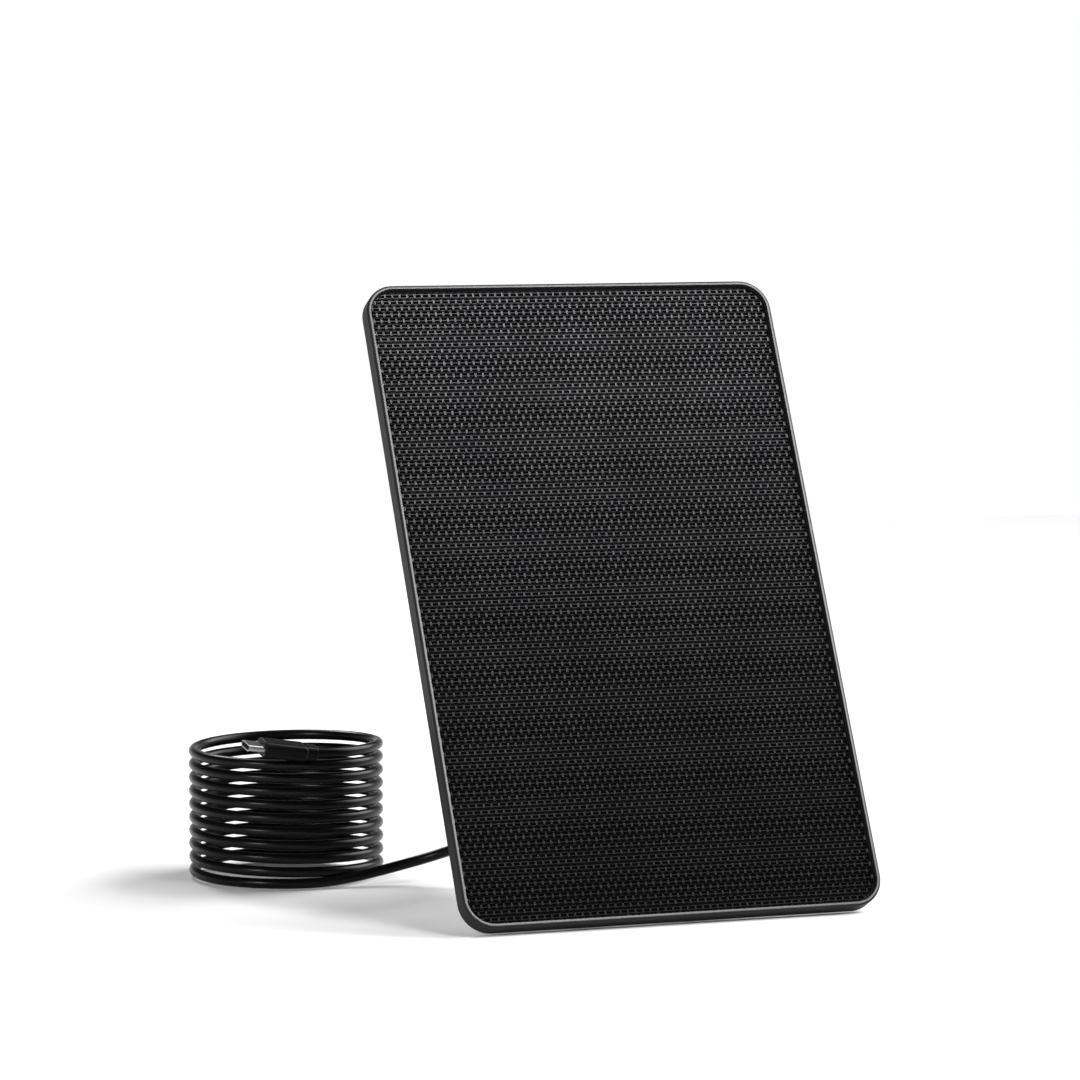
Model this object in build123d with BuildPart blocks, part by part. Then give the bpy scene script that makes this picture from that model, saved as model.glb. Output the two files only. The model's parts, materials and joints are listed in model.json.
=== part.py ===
from build123d import *
import os
from math import cos, pi, radians, sin, tan

# A small flat solar charger that keeps a security camera's battery full.
#
# The panel stands on its bottom back edge and leans back on its own mounting bracket, whose
# round foot lies on the ground. A thin cord leaves the regulator box on the panel's back, runs
# to a neat open coil on the ground and ends in a USB-C plug that rests on the coil.
#
# Frame: millimetres, +Z up. The origin is the centre of the foot's underside, which is also
# the middle of its screw holes. The panel faces -Y, its width runs along X, and the bracket's
# tilt pivot is straight above the origin.

os.makedirs("parts", exist_ok=True)

# ---------------------------------------------------------------- driving dimensions
# Panel
panel_w = 166.0  # overall width
panel_h = 257.0  # overall height, measured along the slope
panel_t = 7.6  # overall thickness at the rim
corner_r = 11.5  # rounded corners of the outline
edge_r = 0.9  # rounding of the rim's long edges
lean = 27.1  # degrees that the panel leans back from upright

# Rim frame
lip_w = 1.5  # wall that stands around the laminate
recess = 1.8  # laminate surface lies this far below the rim
ledge_w = 5.0  # shelf that carries the laminate, measured inwards from the lip
cover_inset = 1.8  # wall left around the rear cover
cover_t = 1.8  # rear cover plate
cover_gap = 0.12  # clearance around the rear cover

# Laminate, front to back
film_t = 0.3
encapsulant_t = 0.45  # front layer, above the cells
cell_t = 0.2
bond_t = 0.35  # rear layer, below the cells
board_t = 1.2
seal_w = 0.9  # sealant bead around the laminate
seal_drop = 0.3  # the bead stays this far below the film
columns = 6
rows = 2
column_pitch = 27.7  # inner columns; the outer ones are trimmed to the edge
cell_gap = 0.6
cell_margin = 0.8  # from the cells to the laminate's edge
ribbon_l = 7.0
ribbon_w = 2.2
ribbon_t = 0.12
ribbons_per_cell = 3

# Rear cover fasteners
screw_r = 1.0
screw_head_r = 1.9
screw_head_t = 1.1
screw_clear = 0.1  # from a screw's tip to the laminate's board
screw_slot_w = 0.5
screw_inset = 4.3  # from the panel's outline to the screw line
screw_corner = 22.0  # from the end of a long side to its last screw
screw_short = 40.0  # half the distance between the two screws of a short side

# Regulator box on the back
box_w = 100.0
box_h = 38.0
box_d = 11.0
box_wall = 1.8
box_r = 5.0
box_edge_r = 1.5
box_drop = 64.5  # from the panel's middle down to the box's middle
gasket_t = 0.6
pillar_r = 3.2
pillar_inset = 4.6  # pillar centres, in from the box's outline
box_screw_r = 1.25
box_screw_head_r = 2.3
box_screw_head_t = 1.2
box_screw_slot_w = 0.6
slot_span = 1.3  # a screw's cross recess, as a share of the head's radius
slot_depth = 0.6  # and as a share of the head's height
pcb_w = 58.0
pcb_h = 26.0
pcb_t = 1.2
pcb_x = 12.0  # board centre, right of the box's middle
post_h = 2.0
post_r = 2.0
post_inset = 3.0
pcb_r = 1.5
wire_r = 0.6
wire_hole_r = 4.5
wire_bend_r = 0.7
input_wire_gap = 6.0  # between the two wires from the laminate
input_wire_in = 11.0  # from the board's right edge
output_wire_gap = 2.6  # between the two wires at the gland
output_wire_spread = 3.0  # how much wider they stand at the board
output_wire_in = 7.0  # from the board's left edge
output_wire_lift = 1.6  # over the board's component side

# Components, each placed from the board's middle
component_edge = 0.5
inductor_w = 8.0
inductor_r = 1.8
inductor_h = 4.0
inductor_spot = (-2.0, -2.0)
capacitor_r = 3.0
capacitor_h = 5.2
capacitor_spots = [(-14.0, 5.0), (9.0, 5.0)]
diode_l = 4.6
diode_w = 2.8
diode_h = 2.3
diode_edge = 0.4
diode_spot = (9.0, -6.0)
chip_l = 5.0
chip_w = 4.0
chip_h = 1.4
chip_lift = 0.1
chip_spot = (-13.0, -6.0)
leg_count = 4
leg_pitch = 1.27
leg_w = 0.4
leg_span = 6.0
leg_t = 0.3

# Mounting boss and insert in the panel's middle
boss_r = 13.0
boss_h = 5.0
insert_r = 5.0
insert_depth = 6.6
stud_r = 3.175  # quarter-inch camera thread
stud_play = 0.05
stud_short = 0.3  # from the stud's tip to the bottom of the insert

# Bracket
standoff = 28.0  # from the panel's back to the tilt pivot
wheel_r = 12.0
wheel_t = 5.0
wheel_gap = 0.25
wheel_flutes = 18
flute_r = 1.3
flute_out = 0.5  # flute centres, outside the wheel's edge
shoulder_gap = 0.6
neck_w = 9.8  # width of the knuckle's neck
shoulder_r = 7.0
shoulder_t = 3.0
lug_w = 7.0
lug_r = 9.0
cheek_t = 5.0
washer_t = 0.4
washer_r = 7.5
bolt_r = 2.5
bolt_play = 0.05
bolt_head_r = 4.6  # corner radius of the hexagon
bolt_head_t = 3.5
knob_r = 10.0
knob_t = 9.0
knob_lobes = 6
knob_lobe_r = 3.4
knob_lobe_out = 1.6  # lobe cuts' centres, outside the knob's edge
knob_edge = 0.8
knob_skin = 2.0  # closed end over the bolt
knob_gap = 0.3  # from the arm's cheek
bolt_end_gap = 0.1
bolt_seat_play = 0.1  # around the bolt's head
face_gap = 0.03  # running clearance at a washer's face
fork_clear = 1.5  # between the lug's round end and the bottom of the fork
fork_floor = 9.0  # solid block under the fork's slot
fork_taper = 10.8  # length over which the block narrows to the stem
fork_corner_r = 3.0
arm_r = 8.0
arm_foot_r = 11.0
arm_foot_t = 4.0
spigot_r = 6.0
spigot_play = 0.05
hub_r = 12.0
hub_h = 10.0
thrust_t = 0.6
foot_r = 30.0
foot_t = 5.0
pad_t = 1.5
foot_pcd = 44.0
foot_holes = 3
foot_hole_r = 2.25
foot_sink_r = 4.2
foot_edge_r = 2.0
hub_edge_r = 0.6
collar_out_r = 4.0  # collars round the screw holes, which keep the screws off the soft pad
collar_lift = 0.3  # they end this far above the ground
pad_play = 0.1
pad_inset = 1.0
well_r = 9.0
well_d = 4.5
swivel_screw_r = 2.0
swivel_head_r = 4.0
swivel_head_t = 2.1
swivel_washer_r = 8.0
swivel_washer_t = 1.2
swivel_gap = 0.1  # between the swivel washer and the roof of the foot's well
swivel_head_edge = 0.7
driver_w = 0.9  # cross recess of the swivel screw
driver_l = 4.4
driver_d = 1.2
tilt_stop = 85.0  # degrees that the arm folds to either side of the stud's line

# Cord and plug
cord_r = 2.0
coil_r = 36.0  # centreline of the turns
coil_x = -99.5
coil_y = 74.5
coil_top = 48.3
gland_x = -39.0
gland_flange_r = 6.0
gland_flange_t = 1.5
gland_neck_r = 4.5
gland_cap_r = 6.4
gland_cap_t = 6.0
gland_taper_l = 13.0
gland_tip_r = 2.9
gland_bore_play = 0.05
gland_cap_edge = 2.0
groove_d = 0.5
groove_w = 0.9
groove_count = 4
cord_grip = 6.0  # length of cord held inside the gland's tip
lead_out = 18.0  # the cord's first run, straight out of the gland
plug_heading = 185.5  # degrees about Z from +X that the plug points
plug_pitch = 9.0  # degrees up
plug_roll = -11.5  # degrees that its flat side is turned
collar_l = 4.4
collar_w = 7.8
collar_t = 5.8
collar_r = 2.3
collar_edge = 0.5
overmould_l = 18.2
overmould_w = 10.0
overmould_t = 6.2
overmould_r = 2.2
overmould_back_edge = 1.4
overmould_front_edge = 0.5
shell_w = 8.34
shell_t = 2.56
shell_l = 6.65
shell_wall = 0.3
tongue_w = 5.4
tongue_t = 0.7
tongue_l = 5.6
tongue_sunk = 0.4  # the tongue ends this far inside the mouth

# ---------------------------------------------------------------- places that follow
cos_lean, sin_lean = cos(radians(lean)), sin(radians(lean))
face_normal = Vector(0, -cos_lean, sin_lean)
edge_drop = edge_r * (cos_lean + sin_lean - 1)  # a rounded edge rests above its sharp corner
pivot_h = panel_h / 2 * cos_lean - standoff * sin_lean - edge_drop
pivot = Vector(0, 0, pivot_h)

# Plane on the panel's back: origin in its middle, x to the right, y up the slope, z to the front
back = Plane(origin=pivot + face_normal * standoff, x_dir=(1, 0, 0), z_dir=face_normal)
front_axis = Axis(back.origin, back.z_dir)

film_z = panel_t - recess - film_t
encapsulant_z = film_z - encapsulant_t
cell_z = encapsulant_z - cell_t
bond_z = cell_z - bond_t
board_z = bond_z - board_t  # also the top of the ledge
screw_l = board_z - screw_clear

laminate_inset = lip_w + seal_w
laminate_w = panel_w - 2 * laminate_inset
laminate_h = panel_h - 2 * laminate_inset
laminate_r = corner_r - laminate_inset
window_inset = lip_w + ledge_w
box_y = -box_drop
box_top = -gasket_t - box_d  # outermost face of the regulator box
foot_top = pad_t + foot_t
hub_top = foot_top + hub_h
arm_bottom = hub_top + thrust_t
washer_top = pad_t + well_d - swivel_gap  # also the spigot's lower end


def on_back(x, y, z):
    """A point given in the panel's own plane, in the object's frame."""
    return back.from_local_coords(Vector(x, y, z))


def save(builder, name, color):
    """Label one finished piece and write its file."""
    builder.part.label = name
    builder.part.color = Color(*color)
    export_step(builder.part, f"parts/{name}.step")


silver = (0.75, 0.75, 0.77)

# ---------------------------------------------------------------- panel: rim frame
cover_screw_spots = [
    (side * (panel_w / 2 - screw_inset), y)
    for side in (-1, 1)
    for y in (-(panel_h / 2 - screw_corner), 0, panel_h / 2 - screw_corner)
] + [(x, end * (panel_h / 2 - screw_inset)) for x in (-screw_short, screw_short) for end in (-1, 1)]

with BuildPart() as frame:
    with BuildSketch(back):
        RectangleRounded(panel_w, panel_h, corner_r)
    extrude(amount=panel_t)
    fillet(frame.faces().sort_by(front_axis)[-1].edges(), edge_r)
    fillet(frame.faces().sort_by(front_axis)[0].edges(), edge_r)
    with BuildSketch(back.offset(board_z)):
        RectangleRounded(panel_w - 2 * lip_w, panel_h - 2 * lip_w, corner_r - lip_w)
    extrude(amount=panel_t - board_z, mode=Mode.SUBTRACT)
    with BuildSketch(back):
        RectangleRounded(
            panel_w - 2 * cover_inset, panel_h - 2 * cover_inset, corner_r - cover_inset
        )
    extrude(amount=cover_t, mode=Mode.SUBTRACT)
    with BuildSketch(back):
        RectangleRounded(
            panel_w - 2 * window_inset, panel_h - 2 * window_inset, corner_r - window_inset
        )
    extrude(amount=panel_t, mode=Mode.SUBTRACT)
    with BuildSketch(back):
        with Locations(*cover_screw_spots):
            Circle(screw_r)
    extrude(amount=screw_l, mode=Mode.SUBTRACT)
save(frame, "frame", (0.03, 0.03, 0.035))

# ---------------------------------------------------------------- panel: laminate
with BuildSketch() as laminate_outline:
    RectangleRounded(laminate_w, laminate_h, laminate_r)

with BuildPart() as face_film:
    with BuildSketch(back.offset(film_z)):
        add(laminate_outline.sketch)
    extrude(amount=film_t)
save(face_film, "face_film", (0.07, 0.07, 0.08))

seam_spots = [(k - (columns - 2) / 2) * column_pitch for k in range(columns - 1)]
with BuildPart() as solar_cells:
    with BuildSketch(back.offset(cell_z)):
        RectangleRounded(
            laminate_w - 2 * cell_margin, laminate_h - 2 * cell_margin, laminate_r - cell_margin
        )
        with Locations(*[(x, 0) for x in seam_spots]):
            Rectangle(cell_gap, laminate_h, mode=Mode.SUBTRACT)
        with GridLocations(0, laminate_h / rows, 1, rows - 1):
            Rectangle(laminate_w, cell_gap, mode=Mode.SUBTRACT)
    extrude(amount=cell_t)
save(solar_cells, "solar_cells", (0.02, 0.03, 0.07))

with BuildPart() as front_encapsulant:
    with BuildSketch(back.offset(cell_z)):
        add(laminate_outline.sketch)
    extrude(amount=cell_t + encapsulant_t)
    add(solar_cells.part, mode=Mode.SUBTRACT)
save(front_encapsulant, "front_encapsulant", (0.6, 0.6, 0.6))

with BuildPart() as cell_ribbons:
    with BuildSketch(back.offset(cell_z - ribbon_t)):
        with GridLocations(0, laminate_h / rows, 1, rows):
            with Locations(*[(x, 0) for x in seam_spots]):
                with GridLocations(0, laminate_h / rows / ribbons_per_cell, 1, ribbons_per_cell):
                    Rectangle(ribbon_l, ribbon_w)
        with Locations((seam_spots[-1] + column_pitch / 2, 0)):
            Rectangle(ribbon_w, ribbon_l)
    extrude(amount=ribbon_t)
save(cell_ribbons, "cell_ribbons", silver)

with BuildPart() as rear_encapsulant:
    with BuildSketch(back.offset(bond_z)):
        add(laminate_outline.sketch)
    extrude(amount=bond_t)
    add(cell_ribbons.part, mode=Mode.SUBTRACT)
save(rear_encapsulant, "rear_encapsulant", (0.6, 0.6, 0.6))

panel_wire_x = pcb_x + pcb_w / 2 - input_wire_in
panel_wire_spots = [(panel_wire_x, box_y + side * input_wire_gap / 2) for side in (-1, 1)]
with BuildPart() as backing_board:
    with BuildSketch(back.offset(board_z)):
        add(laminate_outline.sketch)
    extrude(amount=board_t)
    with BuildSketch(back.offset(board_z)):
        with Locations(*panel_wire_spots):
            Circle(wire_r)
    extrude(amount=board_t / 2, mode=Mode.SUBTRACT)
save(backing_board, "backing_board", (0.1, 0.2, 0.12))

with BuildPart() as edge_seal:
    with BuildSketch(back.offset(board_z)):
        RectangleRounded(panel_w - 2 * lip_w, panel_h - 2 * lip_w, corner_r - lip_w)
        RectangleRounded(laminate_w, laminate_h, laminate_r, mode=Mode.SUBTRACT)
    extrude(amount=panel_t - recess - seal_drop - board_z)
save(edge_seal, "edge_seal", (0.01, 0.01, 0.01))

# ---------------------------------------------------------------- panel: rear cover
pillar_dx = box_w - 2 * pillar_inset
pillar_dy = box_h - 2 * pillar_inset
post_dx = pcb_w - 2 * post_inset
post_dy = pcb_h - 2 * post_inset

with BuildPart() as rear_cover:
    with BuildSketch(back):
        RectangleRounded(
            panel_w - 2 * (cover_inset + cover_gap),
            panel_h - 2 * (cover_inset + cover_gap),
            corner_r - cover_inset - cover_gap,
        )
    extrude(amount=cover_t)
    with BuildSketch(back):
        Circle(boss_r)
    extrude(amount=-boss_h, taper=4)
    with BuildSketch(back):
        with Locations((pcb_x, box_y)):
            with GridLocations(post_dx, post_dy, 2, 2):
                Circle(post_r)
    extrude(amount=-post_h)
    with BuildSketch(back.offset(-boss_h)):
        Circle(insert_r)
    extrude(amount=insert_depth, mode=Mode.SUBTRACT)
    with BuildSketch(back):
        with Locations((panel_wire_x, box_y)):
            Circle(wire_hole_r)
        with Locations((0, box_y)):
            with GridLocations(pillar_dx, pillar_dy, 2, 2):
                Circle(box_screw_r)
    extrude(amount=cover_t, mode=Mode.SUBTRACT)
    for x, y in cover_screw_spots:
        with BuildSketch(back):
            with Locations((x, y)):
                Circle(screw_head_r)
        with BuildSketch(back.offset(screw_head_t)):
            with Locations((x, y)):
                Circle(screw_r)
        loft(mode=Mode.SUBTRACT)
    with BuildSketch(back):
        with Locations(*cover_screw_spots):
            Circle(screw_r)
    extrude(amount=cover_t, mode=Mode.SUBTRACT)
save(rear_cover, "rear_cover", (0.06, 0.06, 0.065))


def countersunk_screw(plane, shank_r, head_r, head_t, length, slot_w):
    """One flat-head screw whose head lies in the plane and whose shank runs along its z."""
    with BuildPart(plane) as screw:
        with BuildSketch(plane):
            Circle(head_r)
        with BuildSketch(plane.offset(head_t)):
            Circle(shank_r)
        loft()
        with BuildSketch(plane):
            Circle(shank_r)
        extrude(amount=length)
        with BuildSketch(plane):
            Rectangle(slot_w, slot_span * head_r)
            Rectangle(slot_span * head_r, slot_w)
        extrude(amount=slot_depth * head_t, mode=Mode.SUBTRACT)
    return screw.part


cover_screw_list = [
    countersunk_screw(
        Plane(origin=on_back(x, y, 0), x_dir=back.x_dir, z_dir=back.z_dir),
        screw_r, screw_head_r, screw_head_t, screw_l, screw_slot_w,
    )
    for x, y in cover_screw_spots
]
with BuildPart() as cover_screws:
    add(cover_screw_list)
save(cover_screws, "cover_screws", silver)

with BuildPart() as stud_insert:
    with BuildSketch(back.offset(-boss_h)):
        Circle(insert_r)
        Circle(stud_r + stud_play, mode=Mode.SUBTRACT)
    extrude(amount=insert_depth)
save(stud_insert, "stud_insert", (0.75, 0.6, 0.25))

# ---------------------------------------------------------------- regulator box
box_spot = (0, box_y)
with BuildPart() as box_gasket:
    with BuildSketch(back):
        with Locations(box_spot):
            RectangleRounded(box_w, box_h, box_r)
            RectangleRounded(
                box_w - 2 * box_wall, box_h - 2 * box_wall, box_r - box_wall, mode=Mode.SUBTRACT
            )
            with GridLocations(pillar_dx, pillar_dy, 2, 2):
                Circle(pillar_r)
            with GridLocations(pillar_dx, pillar_dy, 2, 2):
                Circle(box_screw_r, mode=Mode.SUBTRACT)
    extrude(amount=-gasket_t)
save(box_gasket, "box_gasket", (0.02, 0.02, 0.02))

with BuildPart() as junction_box:
    with BuildSketch(back.offset(-gasket_t)):
        with Locations(box_spot):
            RectangleRounded(box_w, box_h, box_r)
    extrude(amount=-box_d)
    fillet(junction_box.faces().sort_by(front_axis)[0].edges(), box_edge_r)
    with BuildSketch(back.offset(-gasket_t)):
        with Locations(box_spot):
            RectangleRounded(box_w - 2 * box_wall, box_h - 2 * box_wall, box_r - box_wall)
            with GridLocations(pillar_dx, pillar_dy, 2, 2):
                Circle(pillar_r, mode=Mode.SUBTRACT)
    extrude(amount=-(box_d - box_wall), mode=Mode.SUBTRACT)
    with BuildSketch(back.offset(box_top)):
        with Locations(box_spot):
            with GridLocations(pillar_dx, pillar_dy, 2, 2):
                Circle(box_screw_r)
        with Locations((gland_x, box_y)):
            Circle(gland_neck_r)
    extrude(amount=box_d, mode=Mode.SUBTRACT)
    for location in GridLocations(pillar_dx, pillar_dy, 2, 2).locations:
        x, y = location.position.X, location.position.Y + box_y
        with BuildSketch(back.offset(box_top)):
            with Locations((x, y)):
                Circle(box_screw_head_r)
        with BuildSketch(back.offset(box_top + box_screw_head_t)):
            with Locations((x, y)):
                Circle(box_screw_r)
        loft(mode=Mode.SUBTRACT)
save(junction_box, "junction_box", (0.05, 0.05, 0.055))

box_screw_l = box_d + gasket_t + cover_t
with BuildPart() as box_screws:
    add(
        [
            countersunk_screw(
                Plane(
                    origin=on_back(location.position.X, location.position.Y + box_y, box_top),
                    x_dir=back.x_dir,
                    z_dir=back.z_dir,
                ),
                box_screw_r, box_screw_head_r, box_screw_head_t, box_screw_l, box_screw_slot_w,
            )
            for location in GridLocations(pillar_dx, pillar_dy, 2, 2).locations
        ]
    )
save(box_screws, "box_screws", silver)

pcb_outer = -post_h - pcb_t  # component side of the board
with BuildPart() as regulator_board:
    with BuildSketch(back.offset(-post_h)):
        with Locations((pcb_x, box_y)):
            RectangleRounded(pcb_w, pcb_h, pcb_r)
        with Locations(*panel_wire_spots):
            Circle(wire_r, mode=Mode.SUBTRACT)
    extrude(amount=-pcb_t)
save(regulator_board, "regulator_board", (0.05, 0.25, 0.12))

component_plane = Plane(
    origin=on_back(pcb_x, box_y, pcb_outer), x_dir=back.x_dir, z_dir=back.z_dir
)
with BuildPart() as inductor:
    with BuildSketch(component_plane):
        with Locations(inductor_spot):
            RectangleRounded(inductor_w, inductor_w, inductor_r)
    extrude(amount=-inductor_h)
    chamfer(inductor.faces().sort_by(front_axis)[0].edges(), component_edge)
save(inductor, "inductor", (0.2, 0.2, 0.2))

with BuildPart() as capacitors:
    with BuildSketch(component_plane):
        with Locations(*capacitor_spots):
            Circle(capacitor_r)
    extrude(amount=-capacitor_h)
    fillet(capacitors.edges().group_by(front_axis)[0], component_edge)
save(capacitors, "capacitors", (0.7, 0.7, 0.7))

with BuildPart() as blocking_diode:
    with BuildSketch(component_plane):
        with Locations(diode_spot):
            Rectangle(diode_l, diode_w)
    extrude(amount=-diode_h)
    chamfer(blocking_diode.faces().sort_by(front_axis)[0].edges(), diode_edge)
save(blocking_diode, "blocking_diode", (0.03, 0.03, 0.03))

with BuildPart() as regulator_chip:
    with BuildSketch(component_plane.offset(-chip_lift)):
        with Locations(chip_spot):
            Rectangle(chip_l, chip_w)
    extrude(amount=-chip_h)
    with BuildSketch(component_plane):
        with Locations(chip_spot):
            with GridLocations(leg_pitch, 0, leg_count, 1):
                Rectangle(leg_w, leg_span)
    extrude(amount=-leg_t)
save(regulator_chip, "regulator_chip", (0.02, 0.02, 0.02))

# Output wires bend from the gland to the board; input wires go straight through the cover
gland_inner = box_top + box_wall + gland_flange_t
wire_level = pcb_outer - output_wire_lift
output_wire_end = pcb_x - pcb_w / 2 + output_wire_in
with BuildPart() as hookup_wires:
    for offset_y in (-output_wire_gap / 2, output_wire_gap / 2):
        with BuildLine() as wire_path:
            FilletPolyline(
                on_back(gland_x, box_y + offset_y, gland_inner),
                on_back(gland_x, box_y + offset_y, wire_level),
                on_back(output_wire_end, box_y + output_wire_spread * offset_y, wire_level),
                on_back(output_wire_end, box_y + output_wire_spread * offset_y, pcb_outer),
                radius=wire_bend_r,
            )
        with BuildSketch(wire_path.line ^ 0):
            Circle(wire_r)
        sweep(path=wire_path.line)
    with BuildSketch(back.offset(-post_h - pcb_t)):
        with Locations(*panel_wire_spots):
            Circle(wire_r)
    extrude(amount=post_h + pcb_t + board_z + board_t / 2)
save(hookup_wires, "hookup_wires", (0.6, 0.05, 0.05))

# ---------------------------------------------------------------- cord gland
gland_plane = Plane(
    origin=on_back(gland_x, box_y, box_top), x_dir=back.x_dir, z_dir=-back.z_dir
)
gland_axis = Axis(gland_plane.origin, gland_plane.z_dir)
gland_tip = gland_cap_t + gland_taper_l
groove_pitch = gland_taper_l / (groove_count + 1.4)
with BuildPart() as cord_gland:
    with BuildSketch(gland_plane.offset(-box_wall - gland_flange_t)):
        Circle(gland_flange_r)
    extrude(amount=gland_flange_t)
    with BuildSketch(gland_plane.offset(-box_wall)):
        Circle(gland_neck_r)
    extrude(amount=box_wall)
    with BuildSketch(gland_plane):
        Circle(gland_cap_r)
    extrude(amount=gland_cap_t)
    fillet(cord_gland.faces().sort_by(gland_axis)[-1].edges(), gland_cap_edge)
    with BuildSketch(gland_plane.offset(gland_cap_t)):
        Circle(gland_neck_r)
    with BuildSketch(gland_plane.offset(gland_tip)):
        Circle(gland_tip_r)
    loft()
    for k in range(groove_count):
        along = groove_pitch * (k + 1.2)
        taper_r = gland_neck_r + (gland_tip_r - gland_neck_r) * along / gland_taper_l
        with BuildSketch(gland_plane.offset(gland_cap_t + along)):
            Circle(gland_neck_r)
            Circle(taper_r - groove_d, mode=Mode.SUBTRACT)
        extrude(amount=groove_w, mode=Mode.SUBTRACT)
    with BuildSketch(gland_plane.offset(-box_wall - gland_flange_t)):
        Circle(cord_r + gland_bore_play)
    extrude(amount=gland_tip + box_wall + gland_flange_t, mode=Mode.SUBTRACT)
save(cord_gland, "cord_gland", (0.02, 0.02, 0.02))

# ---------------------------------------------------------------- cord
# The lead leaves the gland square to the panel's back, sinks towards the ground behind the
# panel, swings left and runs into the coil's bottom turn.
exit_point = gland_plane.from_local_coords(Vector(0, 0, gland_tip))
lead_start = gland_plane.from_local_coords(Vector(0, 0, gland_tip - cord_grip))
lead_route = [
    lead_start,
    gland_plane.from_local_coords(Vector(0, 0, gland_tip + lead_out)),
    Vector(-40.0, 11.0, 20.2),
    Vector(-49.5, 32.6, 11.6),
    Vector(-72.5, 38.0, 5.4),
    Vector(-96.5, 38.8, 2.4),
]


def coil_point(angle, z):
    """A point on the coil's centreline, at an angle about Z from +X."""
    return Vector(coil_x + coil_r * cos(radians(angle)), coil_y + coil_r * sin(radians(angle)), z)


collar_back = coil_point(-89.5, 52.3)
tail_route = [
    coil_point(20, 49.4),
    coil_point(-12, 51.3),
    coil_point(-45, 51.6),
    coil_point(-69, 51.3),
    collar_back,
]


def corner_radii(points, share=0.45):
    """The largest smooth arc for each corner of a route, from its two runs and its turn."""
    radii = []
    for before, here, after in zip(points, points[1:], points[2:]):
        turn = radians((here - before).get_angle(after - here))
        run = min((here - before).length, (after - here).length)
        radii.append(share * run / tan(turn / 2))
    return radii


def cord_tube(points, name):
    """A round tube along straight runs and tangent arcs; prints what it measured."""
    radii = corner_radii(points)
    with BuildPart() as tube:
        with BuildLine() as path:
            FilletPolyline(*points, radius=radii)
        with BuildSketch(path.line ^ 0):
            Circle(cord_r)
        sweep(path=path.line)
    length = path.wire().length
    runs = [(b - a).length for a, b in zip(points, points[1:])]
    fullness = tube.part.volume / (pi * cord_r**2 * length)
    print(f"{name}: length {length:.1f} mm, volume {fullness:.4f} of section times length")
    print(f"  runs {[round(run, 1) for run in runs]}, radii {[round(r, 1) for r in radii]}")
    save(tube, name, (0.02, 0.02, 0.02))


cord_tube(lead_route, "cord_lead")
cord_tube(tail_route, "cord_tail")

with BuildPart() as cord_coil:
    with BuildSketch(Plane(origin=(coil_x, coil_y, 0))):
        Circle(coil_r + cord_r)
        Circle(coil_r - cord_r, mode=Mode.SUBTRACT)
    extrude(amount=coil_top)
save(cord_coil, "cord_coil", (0.02, 0.02, 0.02))

# ---------------------------------------------------------------- USB-C plug
plug_axis = Vector(
    cos(radians(plug_pitch)) * cos(radians(plug_heading)),
    cos(radians(plug_pitch)) * sin(radians(plug_heading)),
    sin(radians(plug_pitch)),
)
level_side = Vector(0, 0, 1).cross(plug_axis).normalized()
plug_side = level_side.rotate(Axis((0, 0, 0), plug_axis), plug_roll)
plug = Plane(origin=collar_back, x_dir=plug_side, z_dir=plug_axis)
plug_line = Axis(plug.origin, plug.z_dir)
shell_start = collar_l + overmould_l

with BuildPart() as plug_collar:
    with BuildSketch(plug):
        RectangleRounded(collar_w, collar_t, collar_r)
    extrude(amount=collar_l)
    fillet(plug_collar.faces().sort_by(plug_line)[0].edges(), collar_edge)
save(plug_collar, "plug_collar", (0.02, 0.02, 0.02))

with BuildPart() as plug_overmould:
    with BuildSketch(plug.offset(collar_l)):
        RectangleRounded(overmould_w, overmould_t, overmould_r)
    extrude(amount=overmould_l)
    fillet(plug_overmould.faces().sort_by(plug_line)[0].edges(), overmould_back_edge)
    fillet(plug_overmould.faces().sort_by(plug_line)[-1].edges(), overmould_front_edge)
save(plug_overmould, "plug_overmould", (0.03, 0.03, 0.03))

with BuildPart() as plug_shell:
    with BuildSketch(plug.offset(shell_start)):
        SlotOverall(shell_w, shell_t)
        SlotOverall(shell_w - 2 * shell_wall, shell_t - 2 * shell_wall, mode=Mode.SUBTRACT)
    extrude(amount=shell_l)
save(plug_shell, "plug_shell", silver)

with BuildPart() as plug_tongue:
    with BuildSketch(plug.offset(shell_start)):
        SlotOverall(shell_w - 2 * shell_wall, shell_t - 2 * shell_wall)
    extrude(amount=shell_l - tongue_sunk)
    with BuildSketch(plug.offset(shell_start + shell_l - tongue_l)):
        Rectangle(shell_w - 4 * shell_wall, tongue_t)
    extrude(amount=tongue_l, mode=Mode.SUBTRACT)
save(plug_tongue, "plug_tongue", (0.05, 0.05, 0.05))

# ---------------------------------------------------------------- bracket: stud and lock wheel
stud = Plane(origin=on_back(0, 0, 0), x_dir=back.x_dir, z_dir=-back.z_dir)
stud_tip = insert_depth - boss_h - stud_short  # how far the stud reaches past the panel's back
wheel_start = boss_h + wheel_gap
shoulder_start = wheel_start + wheel_t + shoulder_gap
neck_l = standoff - shoulder_start - shoulder_t
with BuildPart() as stud_knuckle:
    with BuildSketch(stud.offset(-stud_tip)):
        Circle(stud_r)
    extrude(amount=stud_tip + shoulder_start + shoulder_t / 2)
    with BuildSketch(stud.offset(shoulder_start)):
        Circle(shoulder_r)
    extrude(amount=shoulder_t)
    with BuildSketch(Plane(origin=pivot, x_dir=back.z_dir, z_dir=(1, 0, 0))):
        Circle(lug_r)
        with Locations((neck_l / 2, 0)):
            Rectangle(neck_l, neck_w)
    extrude(amount=lug_w / 2, both=True)
    with BuildSketch(Plane(origin=pivot, x_dir=back.z_dir, z_dir=(1, 0, 0))):
        Circle(bolt_r + bolt_play)
    extrude(amount=lug_w, both=True, mode=Mode.SUBTRACT)
save(stud_knuckle, "stud_knuckle", silver)

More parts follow.
